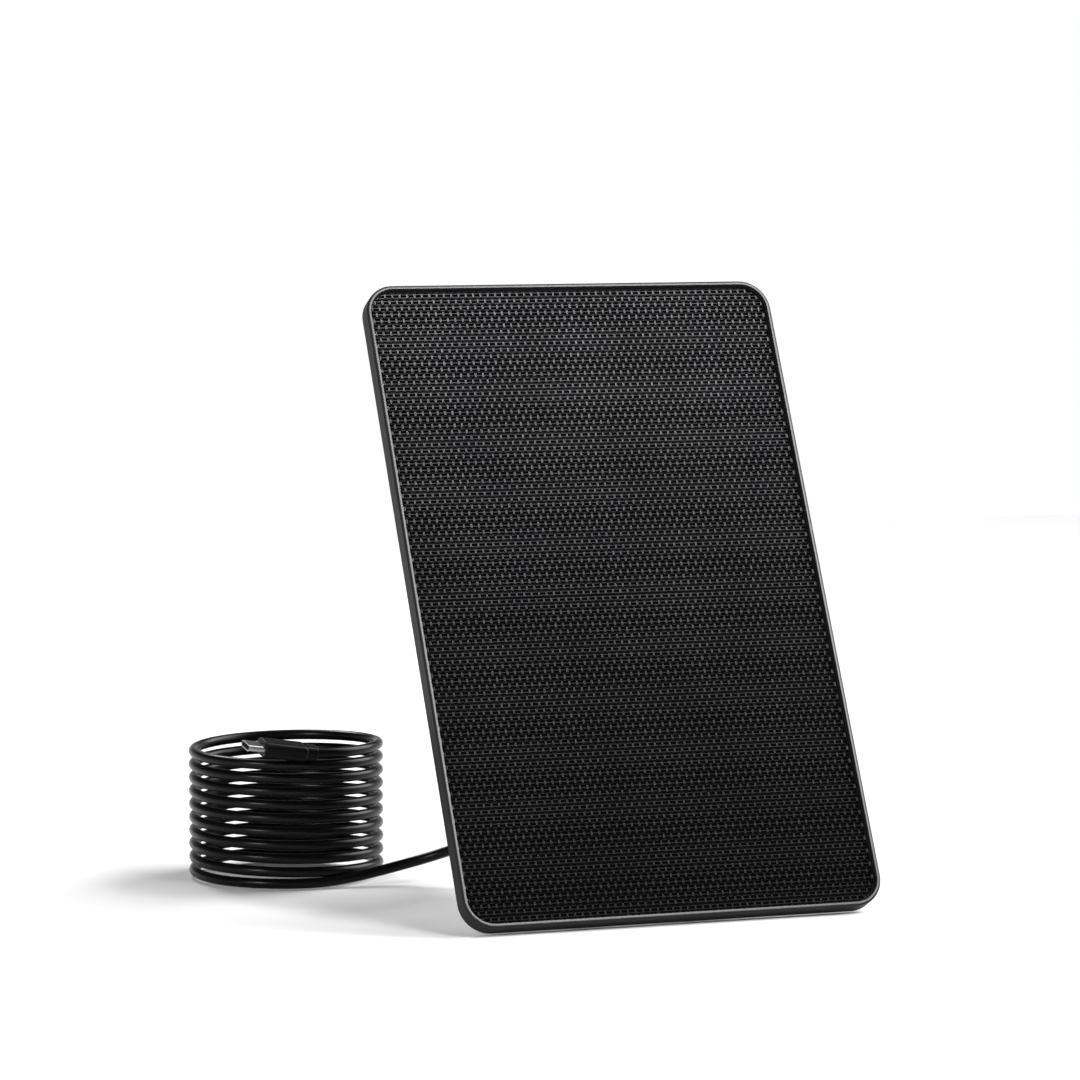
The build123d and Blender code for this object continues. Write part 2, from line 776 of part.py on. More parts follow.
with BuildPart() as lock_wheel:
    with BuildSketch(stud.offset(wheel_start)):
        Circle(wheel_r)
        Circle(stud_r + stud_play, mode=Mode.SUBTRACT)
        with PolarLocations(wheel_r + flute_out, wheel_flutes):
            Circle(flute_r, mode=Mode.SUBTRACT)
    extrude(amount=wheel_t)
save(lock_wheel, "lock_wheel", (0.04, 0.04, 0.04))

# ---------------------------------------------------------------- bracket: arm
tilt_plane = Plane(origin=pivot, x_dir=(0, 1, 0), z_dir=(1, 0, 0))
cheek_in = lug_w / 2 + washer_t
cheek_out = cheek_in + cheek_t
fork_bottom = pivot_h - lug_r - fork_clear
fork_low = fork_bottom - fork_floor
with BuildPart() as arm:
    with BuildSketch(tilt_plane):
        Circle(lug_r)
        with Locations((0, fork_low - pivot_h)):
            Rectangle(2 * lug_r, pivot_h - fork_low, align=(Align.CENTER, Align.MIN))
    extrude(amount=cheek_out, both=True)
    with BuildSketch(tilt_plane):
        with Locations((0, fork_bottom - pivot_h)):
            Rectangle(3 * lug_r, 3 * lug_r, align=(Align.CENTER, Align.MIN))
    extrude(amount=cheek_in, both=True, mode=Mode.SUBTRACT)
    with BuildSketch(tilt_plane):
        Circle(bolt_r + bolt_play)
    extrude(amount=cheek_out, both=True, mode=Mode.SUBTRACT)
    with BuildSketch(Plane(origin=pivot - Vector(cheek_out, 0, 0), z_dir=(-1, 0, 0))):
        RegularPolygon(bolt_head_r + bolt_seat_play, 6)
    extrude(amount=-cheek_t / 2, mode=Mode.SUBTRACT)
    with BuildSketch(Plane.XY.offset(fork_low)):
        RectangleRounded(2 * cheek_out, 2 * lug_r, fork_corner_r)
    with BuildSketch(Plane.XY.offset(fork_low - fork_taper)):
        RectangleRounded(2 * arm_r, 2 * arm_r, 0.98 * arm_r)  # all but a circle
    loft()
    with BuildSketch(Plane.XY.offset(arm_bottom)):
        Circle(arm_r)
    extrude(until=Until.NEXT)
    with BuildSketch(Plane.XY.offset(arm_bottom)):
        Circle(arm_foot_r)
    extrude(amount=arm_foot_t)
    with BuildSketch(Plane.XY.offset(washer_top)):
        Circle(spigot_r)
    extrude(amount=arm_bottom - washer_top)
    with BuildSketch(Plane.XY.offset(washer_top)):
        Circle(swivel_screw_r)
    extrude(amount=hub_h, mode=Mode.SUBTRACT)
save(arm, "arm", (0.05, 0.05, 0.05))

with BuildPart() as friction_washers:
    for side in (-1, 1):
        with BuildSketch(tilt_plane.offset(side * (lug_w / 2 + washer_t / 2))):
            Circle(washer_r)
            Circle(bolt_r + bolt_play, mode=Mode.SUBTRACT)
        extrude(amount=washer_t / 2 - face_gap, both=True)
save(friction_washers, "friction_washers", (0.8, 0.8, 0.78))

knob_start = cheek_out + knob_gap
bolt_seat = cheek_out - cheek_t / 2  # underside of the bolt's head
with BuildPart() as pivot_bolt:
    with BuildSketch(tilt_plane.offset(-bolt_seat)):
        Circle(bolt_r)
    extrude(amount=bolt_seat + knob_start + knob_t - knob_skin)
    with BuildSketch(Plane(origin=pivot - Vector(bolt_seat, 0, 0), z_dir=(-1, 0, 0))):
        RegularPolygon(bolt_head_r, 6)
    extrude(amount=bolt_head_t)
save(pivot_bolt, "pivot_bolt", silver)

with BuildPart() as tilt_knob:
    with BuildSketch(tilt_plane.offset(knob_start)):
        Circle(knob_r)
        with PolarLocations(knob_r + knob_lobe_out, knob_lobes):
            Circle(knob_lobe_r, mode=Mode.SUBTRACT)
    extrude(amount=knob_t)
    fillet(tilt_knob.faces().sort_by(Axis.X)[-1].edges(), knob_edge)
    with BuildSketch(tilt_plane.offset(knob_start)):
        Circle(bolt_r + bolt_play)
    extrude(amount=knob_t - knob_skin + bolt_end_gap, mode=Mode.SUBTRACT)
save(tilt_knob, "tilt_knob", (0.04, 0.04, 0.04))

# ---------------------------------------------------------------- bracket: foot
with BuildPart() as thrust_washer:
    with BuildSketch(Plane.XY.offset(hub_top + face_gap)):
        Circle(arm_foot_r)
        Circle(spigot_r + spigot_play, mode=Mode.SUBTRACT)
    extrude(amount=thrust_t - face_gap)
save(thrust_washer, "thrust_washer", (0.8, 0.8, 0.78))

with BuildPart() as base_plate:
    with BuildSketch(Plane.XY.offset(pad_t)):
        Circle(foot_r)
    extrude(amount=foot_t)
    fillet(base_plate.faces().sort_by(Axis.Z)[-1].edges(), foot_edge_r)
    with BuildSketch(Plane.XY.offset(pad_t)):
        Circle(hub_r)
    extrude(amount=foot_t + hub_h)
    fillet(base_plate.faces().sort_by(Axis.Z)[-1].edges(), hub_edge_r)
    with BuildSketch(Plane.XY.offset(pad_t)):
        Circle(spigot_r + spigot_play)
    extrude(amount=foot_t + hub_h, mode=Mode.SUBTRACT)
    with BuildSketch(Plane.XY.offset(pad_t)):
        Circle(well_r)
    extrude(amount=well_d, mode=Mode.SUBTRACT)
    with BuildSketch(Plane.XY.offset(collar_lift)):
        with PolarLocations(foot_pcd / 2, foot_holes, start_angle=90):
            Circle(collar_out_r)
    extrude(amount=pad_t - collar_lift)
    with Locations(Plane.XY.offset(foot_top)):
        with PolarLocations(foot_pcd / 2, foot_holes, start_angle=90):
            CounterSinkHole(foot_hole_r, foot_sink_r)
save(base_plate, "base_plate", (0.05, 0.05, 0.05))

with BuildPart() as base_pad:
    with BuildSketch():
        Circle(foot_r - pad_inset)
        Circle(well_r, mode=Mode.SUBTRACT)
        with PolarLocations(foot_pcd / 2, foot_holes, start_angle=90):
            Circle(collar_out_r + pad_play, mode=Mode.SUBTRACT)
    extrude(amount=pad_t)
save(base_pad, "base_pad", (0.02, 0.02, 0.02))

with BuildPart() as swivel_washer:
    with BuildSketch(Plane.XY.offset(washer_top)):
        Circle(swivel_washer_r)
        Circle(swivel_screw_r, mode=Mode.SUBTRACT)
    extrude(amount=-swivel_washer_t)
save(swivel_washer, "swivel_washer", silver)

with BuildPart() as swivel_screw:
    with BuildSketch(Plane.XY.offset(washer_top - swivel_washer_t)):
        Circle(swivel_head_r)
    extrude(amount=-swivel_head_t)
    fillet(swivel_screw.faces().sort_by(Axis.Z)[0].edges(), swivel_head_edge)
    with BuildSketch(Plane.XY.offset(washer_top - swivel_washer_t - swivel_head_t)):
        Rectangle(driver_w, driver_l)
        Rectangle(driver_l, driver_w)
    extrude(amount=driver_d, mode=Mode.SUBTRACT)
    with BuildSketch(Plane.XY.offset(washer_top - swivel_washer_t)):
        Circle(swivel_screw_r)
    extrude(amount=swivel_washer_t + hub_h)
save(swivel_screw, "swivel_screw", silver)

print(f"pivot height {pivot_h:.2f}, cord leaves the gland at {exit_point}")
print(f"arm folds {tilt_stop - 90 + lean:.1f} degrees down and {tilt_stop + 90 - lean:.1f} up")
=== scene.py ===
# %% [markdown]
# # A flat solar charger with its coiled cord
#
# The finished object is a thin solar panel that leans on a small wall bracket. Its laminate has an
# embossed face, its rim is satin black plastic, and a slim cord is wound into an open coil that
# ends in a USB-C plug. The measured frame is loaded first: every body, axis and size is settled
# there, so each piece made below only has to take its place in it.

# %% Load the frame
import json
from math import atan2, cos, degrees, pi, radians, sin

import bpy
from mathutils import Matrix, Vector


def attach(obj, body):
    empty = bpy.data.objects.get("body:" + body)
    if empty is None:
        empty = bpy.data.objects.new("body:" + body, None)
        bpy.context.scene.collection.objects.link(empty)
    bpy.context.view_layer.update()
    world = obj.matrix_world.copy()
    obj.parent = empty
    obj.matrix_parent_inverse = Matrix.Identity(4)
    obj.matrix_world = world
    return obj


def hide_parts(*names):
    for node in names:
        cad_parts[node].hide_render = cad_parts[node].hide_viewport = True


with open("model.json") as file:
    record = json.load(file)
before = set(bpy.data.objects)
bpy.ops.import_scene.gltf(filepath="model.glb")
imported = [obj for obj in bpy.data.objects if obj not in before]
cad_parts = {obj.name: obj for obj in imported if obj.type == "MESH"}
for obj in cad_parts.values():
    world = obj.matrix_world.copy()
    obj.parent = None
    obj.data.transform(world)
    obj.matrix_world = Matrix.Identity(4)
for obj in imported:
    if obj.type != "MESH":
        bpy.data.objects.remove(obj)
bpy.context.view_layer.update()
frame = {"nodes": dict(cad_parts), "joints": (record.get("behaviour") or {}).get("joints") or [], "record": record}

nodes = frame["nodes"]

# %% [markdown]
# ## The panel's own plane
#
# Almost everything on the panel is flat to its back, which leans. The tilt pivot and the stud's
# axis are in the record, and together they give the lean and a local frame: x to the right, y up
# the slope, z out of the solar face. A matrix for that frame lets every piece be modelled flat,
# which is far easier to read, and be laid on the slope at the end.

# %% Axes of the panel
joints = {joint["name"]: joint for joint in frame["joints"]}
stud_axis = Vector(joints["lock_wheel_turn"]["axis"]).normalized()
face_normal = -stud_axis
up_slope = face_normal.cross(Vector((1, 0, 0)))
LEAN = atan2(up_slope.y, up_slope.z)
pivot = Vector(joints["arm_tilt"]["pos_m"])


def on_slope(points):
    """The lowest and highest value of some points along x, up the slope, and out of the face."""
    spans = []
    for axis in (Vector((1, 0, 0)), up_slope, face_normal):
        along = [(Vector(point) - pivot).dot(axis) for point in points]
        spans.append((min(along), max(along)))
    return spans


def node_points(name):
    return [vertex.co for vertex in nodes[name].data.vertices]


rim_span = on_slope(node_points("frame"))
film_span = on_slope(node_points("face_film"))
PANEL_W = rim_span[0][1] - rim_span[0][0]
PANEL_H = rim_span[1][1] - rim_span[1][0]
FILM_W = film_span[0][1] - film_span[0][0]
FILM_H = film_span[1][1] - film_span[1][0]
FILM_TOP = film_span[2][1]
FILM_T = film_span[2][1] - film_span[2][0]
tilt = Matrix((Vector((1, 0, 0)), up_slope, face_normal)).transposed().to_4x4()
slope = Matrix.Translation(pivot) @ tilt
print(f"lean {degrees(LEAN):.2f} deg, panel {PANEL_W * 1000:.1f} x {PANEL_H * 1000:.1f} mm")

# %% [markdown]
# ## The camera
#
# The camera comes early, because the cord is judged through it. A long lens from far away keeps
# the panel's sides nearly parallel. It stands to the left, hardly above the panel's foot.

# %% Camera
CAMERA_AZIMUTH = -20.52
CAMERA_ELEVATION = 5.04
camera_data = bpy.data.cameras.new("camera")
camera = bpy.data.objects.new("camera", camera_data)
bpy.context.scene.collection.objects.link(camera)
camera.location = (-0.6764, -1.7502, 0.3001)
camera.rotation_euler = (radians(90 - CAMERA_ELEVATION), 0, radians(CAMERA_AZIMUTH))
camera_data.sensor_width = 36
camera_data.lens = 164.2
camera_data.clip_start, camera_data.clip_end = 0.05, 100
bpy.context.scene.camera = camera

# %% [markdown]
# ## The cord
#
# The cord is one slim cable of constant length. It leaves the gland square to the panel's back,
# sinks to the ground, swings left and winds up ten neat turns that lie a little apart, so light
# shows between them. One NURBS spline of order 3 holds all of it: a few listed points for
# the lead and sixteen points for each turn, worked out by a loop. A quadratic spline runs inside
# its control points, so the turns' points stand a little further out than the real radius.

# %% Route of the cord
CORD_D = 0.004
COIL_X, COIL_Y, COIL_R = -0.0995, 0.0745, 0.0360
PITCH = 0.00518
TURNS = 10
TURN_POINTS = 16
COIL_START = -91.5  # degrees about the coil, where the lead runs into the bottom turn
FIRST_RISE = 0.0011  # the climb starts this high, and the floor holds the first points up
COIL_TOP = 0.0519
COLLAR_ANGLE, COLLAR_Z = -89.5, 0.0523
PLUG_HEADING, PLUG_PITCH, PLUG_ROLL = radians(185.5), radians(9.0), radians(-11.5)
plug_axis = Vector(
    (cos(PLUG_PITCH) * cos(PLUG_HEADING), cos(PLUG_PITCH) * sin(PLUG_HEADING), sin(PLUG_PITCH))
)
lead = [
    (-0.0390, -0.0324, 0.0455),
    (-0.0390, -0.0110, 0.0338),
    (-0.0400, 0.0110, 0.0202),
    (-0.0495, 0.0326, 0.0116),
    (-0.0725, 0.0380, 0.0054),
    (-0.0885, 0.0386, 0.0026),
]


def coil_point(angle, z, radius=COIL_R / cos(pi / TURN_POINTS)):
    return (COIL_X + radius * cos(radians(angle)), COIL_Y + radius * sin(radians(angle)), z)


turns = []
for k in range(TURNS * TURN_POINTS):
    height = FIRST_RISE + PITCH * k / TURN_POINTS
    turns.append(coil_point(COIL_START - 360 * k / TURN_POINTS, min(max(height, CORD_D / 2), COIL_TOP)))
collar_back = Vector(coil_point(COLLAR_ANGLE, COLLAR_Z, COIL_R))
tail = [collar_back - 0.004 * Vector((-1, 0, 0)), collar_back + 0.002 * plug_axis]
route = [*lead, *turns, *tail]

cord_curve = bpy.data.curves.new("cord", "CURVE")
cord_curve.dimensions = "3D"
spline = cord_curve.splines.new("NURBS")
spline.points.add(len(route) - 1)
for point, place in zip(spline.points, route):
    point.co = (*place, 1)
spline.order_u = 3
spline.use_endpoint_u = True
spline.resolution_u = 6
cord_curve.bevel_depth = CORD_D / 2
cord_curve.bevel_resolution = 5
cord_curve.use_fill_caps = True
cord = bpy.data.objects.new("cord", cord_curve)
bpy.context.scene.collection.objects.link(cord)
print("cord control points", len(route), "length", round(spline.calc_length(), 4))

# %% [markdown]
# ## Working with operators
#
# The other new pieces are modelled as by hand, with edit-mode operators. Two small helpers keep
# the steps short: one clears the selection before a primitive is added, and one applies the place
# so that the finished object sits at the origin with its shape in its mesh.

# %% Modelling helpers
def start_clean():
    if bpy.context.object and bpy.context.object.mode != "OBJECT":
        bpy.ops.object.mode_set(mode="OBJECT")
    bpy.ops.object.select_all(action="DESELECT")


def settle(piece, matrix, angle=35):
    """Lay the finished piece at its place, with smooth shading up to an edge angle."""
    bpy.ops.object.mode_set(mode="OBJECT")
    piece.data.transform(matrix @ piece.matrix_world)
    piece.matrix_world = Matrix.Identity(4)
    bpy.ops.object.select_all(action="DESELECT")
    piece.select_set(True)
    bpy.context.view_layer.objects.active = piece
    bpy.ops.object.shade_smooth_by_angle(angle=radians(angle))


# %% [markdown]
# ## Shader maths as plain expressions
#
# Materials get their detail from numbers worked out at each point of the surface. Wiring Math
# nodes by hand hides the idea, so a small class wraps a socket and gives it the usual operators:
# an expression such as 1 - mask then adds its own node. Every other node comes from one method
# that takes the node's type, its settings, and the values or links of its inputs.

# %% The shader helpers
class Wire:
    """A socket whose arithmetic adds Math nodes to its material."""

    def __init__(self, finish, socket):
        self.finish, self.socket = finish, socket

    def maths(self, operation, first, second):
        made = self.finish.node("ShaderNodeMath", {"operation": operation}, {0: first, 1: second})
        return made["Value"]

    def __add__(self, other):
        return self.maths("ADD", self, other)

    def __sub__(self, other):
        return self.maths("SUBTRACT", self, other)

    def __rsub__(self, other):
        return self.maths("SUBTRACT", other, self)

    def __mul__(self, other):
        return self.maths("MULTIPLY", self, other)

    def __abs__(self):
        return self.maths("ABSOLUTE", self, 0)

    __radd__ = __add__
    __rmul__ = __mul__


class Finish:
    """One material under construction."""

    def __init__(self, name):
        self.material = bpy.data.materials.new(name)
        self.material.use_nodes = True
        self.tree = self.material.node_tree
        self.tree.nodes.clear()
        self.place = self.node("ShaderNodeTexCoord")["Object"]
        self.facing = self.node("ShaderNodeNewGeometry")["Normal"]

    def node(self, kind, settings=None, inputs=None):
        """Adds a node with its settings and inputs, and returns its outputs by name."""
        made = self.tree.nodes.new(kind)
        for name, value in (settings or {}).items():
            setattr(made, name, value)
        for name, value in (inputs or {}).items():
            if isinstance(value, Wire):
                self.tree.links.new(value.socket, made.inputs[name])
            elif isinstance(value, tuple) and len(value) == 3 and made.inputs[name].type == "RGBA":
                made.inputs[name].default_value = (*value, 1)
            else:
                made.inputs[name].default_value = value
        return {socket.name: Wire(self, socket) for socket in made.outputs if socket.enabled}

    def along(self, direction, origin=(0, 0, 0)):
        """Distance along a direction from a point, in metres."""
        offset = self.node("ShaderNodeVectorMath", {"operation": "SUBTRACT"}, {0: self.place, 1: origin})
        return self.dot(offset["Vector"], direction)

    def dot(self, vector, direction):
        made = self.node("ShaderNodeVectorMath", {"operation": "DOT_PRODUCT"}, {0: vector, 1: direction})
        return made["Value"]

    def grey(self, shade, blue=1.0):
        """A grey of a worked-out shade, a little bluer or not."""
        made = self.node("ShaderNodeCombineColor", {}, {0: shade, 1: shade, 2: shade * blue})
        return made["Color"]

    def noise(self, scale, detail=3, stretch=None):
        """Smooth noise from 0 to 1 with so many features to the metre."""
        place = self.place
        if stretch:
            place = self.node("ShaderNodeMapping", {}, {"Vector": place, "Scale": stretch})["Vector"]
        return self.node(
            "ShaderNodeTexNoise",
            {},
            {"Vector": place, "Scale": scale, "Detail": detail, "Roughness": 0.55},
        )["Fac"]

    def speckle(self, scale):
        """Distance to the nearest of many scattered points, for grain."""
        return self.node("ShaderNodeTexVoronoi", {}, {"Vector": self.place, "Scale": scale})["Distance"]

    def step(self, value, low, high, to_low=0.0, to_high=1.0):
        """A smooth ramp between two values of a wire."""
        return self.node(
            "ShaderNodeMapRange",
            {"interpolation_type": "SMOOTHSTEP"},
            {"Value": value, "From Min": low, "From Max": high, "To Min": to_low, "To Max": to_high},
        )["Result"]

    def mix(self, factor, first, second):
        """Blends two colours."""
        return self.node("ShaderNodeMix", {"data_type": "RGBA"}, {0: factor, 6: first, 7: second})["Result"]

    def bump(self, height, distance):
        made = self.node("ShaderNodeBump", {}, {"Height": height, "Distance": distance, "Strength": 1.0})
        return made["Normal"]

    def surface(self, **inputs):
        """Ends the material with the main shader; underscores stand for spaces."""
        named = {name.replace("_", " "): value for name, value in inputs.items()}
        shader = self.node("ShaderNodeBsdfPrincipled", {}, named)["BSDF"]
        self.node("ShaderNodeOutputMaterial", {}, {"Surface": shader})
        return self.material


# %% [markdown]
# ## Moulded plastics and rubbers
#
# Nearly every piece is black plastic or rubber, and what tells them apart is how they take the
# light. A moulded surface is never even: the mould's spark-eroded grain breaks up the highlight
# and slow waves in the wall change its sharpness. One recipe holds that, and each finish chooses
# its colour, its gloss and the size and depth of its grain. The rim has a finish of its own: its
# flat crown is glossier and painted lighter, a painted highlight that runs as a bright line all around the face.

# %% A recipe for moulded pieces
def moulded(name, colour, roughness, grain, depth, specular=0.5, worn=0.35):
    """Black plastic or rubber with fine grain; worn lightens the colour in faint cloudy patches."""
    finish = Finish(name)
    clouds = finish.noise(34, detail=4)
    fine = finish.speckle(grain)
    lighter = tuple(value * (1 + worn) for value in colour)
    tint = finish.mix(finish.step(clouds, 0.35, 0.75), colour, lighter)
    gloss = roughness - 0.05 + 0.10 * clouds + 0.04 * fine
    return finish.surface(
        Base_Color=tint,
        Roughness=gloss,
        Normal=finish.bump(fine, depth),
        Specular_IOR_Level=specular,
    )


RIM_TOP = rim_span[2][1]
CROWN_LOW, CROWN_HIGH = RIM_TOP - 0.00006, RIM_TOP - 0.00001  # the crown, glossier and with a painted highlight in its colour, starts between


def rim_finish():
    """Satin plastic whose flat crown is glossier and painted lighter: a painted highlight that shows as a bright
    line around the face.
    """
    finish = Finish("rim_plastic")
    height = finish.along(tuple(face_normal), tuple(pivot))
    crown = finish.step(height, CROWN_LOW, CROWN_HIGH)
    clouds = finish.noise(34, detail=4)
    fine = finish.speckle(5200)
    # The crown's lighter colour is a painted highlight; the lower roughness and the coat make it really glossier.
    shade = 0.012 + 0.006 * clouds + crown * (0.045 + 0.035 * clouds)
    return finish.surface(
        Base_Color=finish.grey(shade, 1.08),
        Roughness=0.42 + 0.08 * clouds - 0.12 * crown,
        Normal=finish.bump(fine, 0.000008),
        Specular_IOR_Level=0.08,
        Coat_Weight=crown * 0.5,
        Coat_Roughness=0.2,
    )


RIM = rim_finish()
COVER = moulded("cover_plastic", (0.022, 0.022, 0.024), 0.52, 2600, 0.00005)
BRACKET = moulded("bracket_plastic", (0.016, 0.016, 0.018), 0.48, 3000, 0.00004)
SEAL = moulded("sealant", (0.004, 0.004, 0.004), 0.62, 1800, 0.00003, specular=0.12)
GASKET = moulded("gasket_rubber", (0.010, 0.010, 0.010), 0.6, 2200, 0.00004, specular=0.3)
JACKET = moulded("cord_jacket", (0.0026, 0.0026, 0.0030), 0.26, 4200, 0.000008, specular=0.14, worn=0.2)
PLUG = moulded("plug_plastic", (0.0035, 0.0035, 0.0040), 0.32, 5200, 0.00001, specular=0.1, worn=0.2)
TONGUE = moulded("component_body", (0.008, 0.008, 0.008), 0.5, 4000, 0.00001, specular=0.2)
print("plastics", RIM.name, COVER.name, BRACKET.name, JACKET.name)

# %% [markdown]
# ## Metals
#
# Screws, washers and the bolt are turned or stamped, and the knuckle is anodised black. The recipe
# stretches noise along one direction, which gives lines as a tool leaves them. The plug's shell is
# bent from sheet steel, so its finish also has the fine dark seam where the sheet closes.

# %% A recipe for metals
def metal(name, colour, roughness, stretch, lines=900, depth=0.00001, darker=0.75):
    """Metal with drawn or turned lines; stretch squeezes the noise along each axis."""
    finish = Finish(name)
    streaks = finish.noise(lines, detail=5, stretch=stretch)
    stain = finish.noise(60, detail=3)
    dull = tuple(value * darker for value in colour)
    tint = finish.mix(finish.step(streaks * 0.7 + stain * 0.3, 0.35, 0.7), dull, colour)
    return finish.surface(
        Base_Color=tint,
        Metallic=1.0,
        Roughness=roughness - 0.06 + 0.14 * streaks,
        Normal=finish.bump(streaks, depth),
    )


STEEL = metal("bright_steel", (0.72, 0.72, 0.74), 0.24, (0.06, 1, 1))
BRASS = metal("brass", (0.72, 0.52, 0.22), 0.3, (1, 1, 1))
ANODISED = metal("bracket_metal", (0.035, 0.035, 0.04), 0.36, (1, 1, 0.2), darker=0.6)
plug_level = Vector((0, 0, 1)).cross(plug_axis).normalized()
plug_side = Matrix.Rotation(PLUG_ROLL, 3, plug_axis) @ plug_level
plug_up = plug_axis.cross(plug_side)
SEAM_UP = 0.0009  # the seam lies this far above the shell's middle
SEAM_OUT = 0.0030  # and shows only on the narrow side, past this distance from the middle


def shell_finish():
    """Drawn steel with the fine dark seam where the shell's sheet closes on its narrow side."""
    finish = Finish("plug_steel")
    above = finish.along(tuple(plug_up), tuple(collar_back))
    out = finish.along(tuple(plug_side), tuple(collar_back))
    seam = finish.step(abs(above - SEAM_UP), 0.00012, 0.00022, 1.0, 0.0)
    near = finish.step(out, SEAM_OUT, SEAM_OUT + 0.0004)
    streaks = finish.noise(1400, detail=4)
    shade = (0.34 + 0.3 * streaks) * (1 - seam * near * 0.97)
    return finish.surface(
        Base_Color=finish.grey(shade, 1.03),
        Metallic=1 - seam * near,
        Roughness=0.24 + 0.1 * streaks,
    )


SHELL = shell_finish()
TIN = metal("tinned_copper", (0.66, 0.64, 0.60), 0.34, (1, 0.1, 0.1))
CAN = metal("component_can", (0.62, 0.62, 0.64), 0.3, (1, 1, 0.1))


# %% Board, cells and other inner finishes
def inner(name, colour, roughness, spots, coat=0.0):
    """A hidden piece's finish: two shades in patches, with a soft bump."""
    finish = Finish(name)
    patches = finish.noise(spots, detail=4)
    pale = tuple(min(value * 1.5 + 0.01, 1) for value in colour)
    tint = finish.mix(finish.step(patches, 0.4, 0.7), colour, pale)
    return finish.surface(
        Base_Color=tint,
        Roughness=roughness + 0.1 * patches,
        Normal=finish.bump(patches, 0.00002),
        Coat_Weight=coat,
    )


SILICON = inner("silicon", (0.008, 0.012, 0.035), 0.2, 240, coat=0.5)
BOARD = inner("circuit_board", (0.02, 0.12, 0.05), 0.35, 420, coat=0.3)
CLEAR = inner("encapsulant", (0.35, 0.35, 0.33), 0.25, 90, coat=0.4)
NYLON = inner("nylon", (0.62, 0.61, 0.56), 0.45, 300)
WIRE = inner("wire_insulation", (0.32, 0.015, 0.015), 0.4, 700)

# %% [markdown]
# ## The film's finish
#
# The crests of the pressed ridges are painted lighter, a painted highlight, and the dimples are near
# black: partly the black cell that shows through, partly painted shade where light is swallowed. So
# the colour follows the height above the dimple's floor, measured along the slope's own normal. The
# ridges that run up the panel are painted brightest, a painted highlight on every flank that faces
# sideways. Faint clouds vary the crests, and where two columns of cells meet a slightly paler band
# runs up the panel. The pattern is painted darker toward the foot of the panel, a painted light falloff.

# %% Film material
HEX_PITCH = 0.00297
HEX_ROW = HEX_PITCH * 3 ** 0.5 / 2
DIMPLE = 0.00016  # depth
COLUMN_PITCH = 0.0277
COLUMNS = 6
PAINTED_LIGHT_LOW, PAINTED_LIGHT_MORE = 0.16, 1.2  # painted light falloff: how bright the pattern is painted at the foot, and how much brighter above
PAINTED_LIGHT_START, PAINTED_LIGHT_RUN = -0.16, 0.32  # along the slope from the pivot


def painted_light_falloff(up):
    """Painted light falloff: how bright the pattern is painted at a height up the slope, darker toward the foot.
    """
    slide = (up - PAINTED_LIGHT_START) * (1 / PAINTED_LIGHT_RUN)
    return PAINTED_LIGHT_LOW + PAINTED_LIGHT_MORE * slide * slide


def film_finish():
    finish = Finish("laminate_film")
    across = finish.along((1, 0, 0))
    up = finish.along(tuple(up_slope), tuple(pivot))
    height = finish.along(tuple(face_normal), tuple(pivot))
    crest = finish.step(height, FILM_TOP - 0.9 * DIMPLE, FILM_TOP - 0.1 * DIMPLE)
    seams = 0
    for k in range(COLUMNS - 1):
        middle = (k - (COLUMNS - 2) / 2) * COLUMN_PITCH
        seams = seams + finish.step(abs(across - middle), 0.0004, 0.0016, 1.0, 0.0)
    level = finish.step(abs(up), 0.0002, 0.0007, 1.0, 0.0)
    # Painted highlight: flanks that face sideways are painted bright, as if lit from the side.
    sideways = finish.dot(finish.facing, (1, 0, 0))
    flank = finish.step(abs(sideways), 0.42, 0.62)
    clouds = finish.noise(45, detail=4)
    twinkle = finish.noise(1500, detail=2)
    # The painted light falloff darkens the pattern toward the foot; clouds, twinkle, seams and the mid-height line
    # are the film's own tone.
    shade = painted_light_falloff(up) * (0.4 + 0.6 * clouds + 0.6 * twinkle + 0.25 * seams - 0.5 * level)
    # Painted highlight on the crests and flanks; the near-black rest is the black cell, deepened by painted shade.
    ridge = shade * (crest * 0.016 + flank * 0.36) + 0.0005
    return finish.surface(
        Base_Color=finish.grey(ridge, 1.05),
        Roughness=0.6 - 0.15 * crest + 0.1 * clouds,
        Specular_IOR_Level=0.01,
    )


FILM = film_finish()


# %% Finger finish
def finger_finish():
    finish = Finish("finger_silver")
    broken = finish.noise(900, detail=3, stretch=(0.3, 1, 1))
    clouds = finish.noise(30, detail=3)
    up = finish.along(tuple(up_slope), tuple(pivot))
    patches = finish.step(broken * 0.6 + clouds * 0.4, 0.35, 0.65)
    # The same painted light falloff darkens the fingers toward the foot.
    silver = painted_light_falloff(up) * (0.035 + 0.055 * patches)
    return finish.surface(
        Base_Color=finish.grey(silver, 1.05),
        Roughness=0.5,
        Specular_IOR_Level=0.05,
    )


FINGER = finger_finish()
print("film finishes", FILM.name, FINGER.name)

# %% [markdown]
# ## The embossed film
#
# The laminate's clear top film is pressed with a fine honeycomb, which scatters glare and lets
# dirt wash off. It could be only a bump in the material, but the pattern is what the eye sees
# first, so it is real here. One hexagon is inset to leave half a ridge around it and inset again,
# downwards, to make the dimple. Two arrays repeat it, and straight bisects cut the sheet to the
# laminate's outline; the cuts along each corner are tangents of its round.

# %% One dimple, repeated
RIDGE = 0.00026  # width of a ridge's flat crest
SLOPE = 0.00016  # width of each flank
FILM_R = 0.0091  # round of the laminate's corners
FILM_PLAY = 0.00005  # the film ends this far inside the measured outline


def array(piece, count, offset):
    bpy.ops.object.mode_set(mode="OBJECT")
    repeat = piece.modifiers.new("repeat", "ARRAY")
    repeat.count = count
    repeat.use_relative_offset = False
    repeat.use_constant_offset = True
    repeat.constant_offset_displace = offset
    repeat.use_merge_vertices = True
    repeat.merge_threshold = 0.00002
    bpy.ops.object.modifier_apply(modifier=repeat.name)


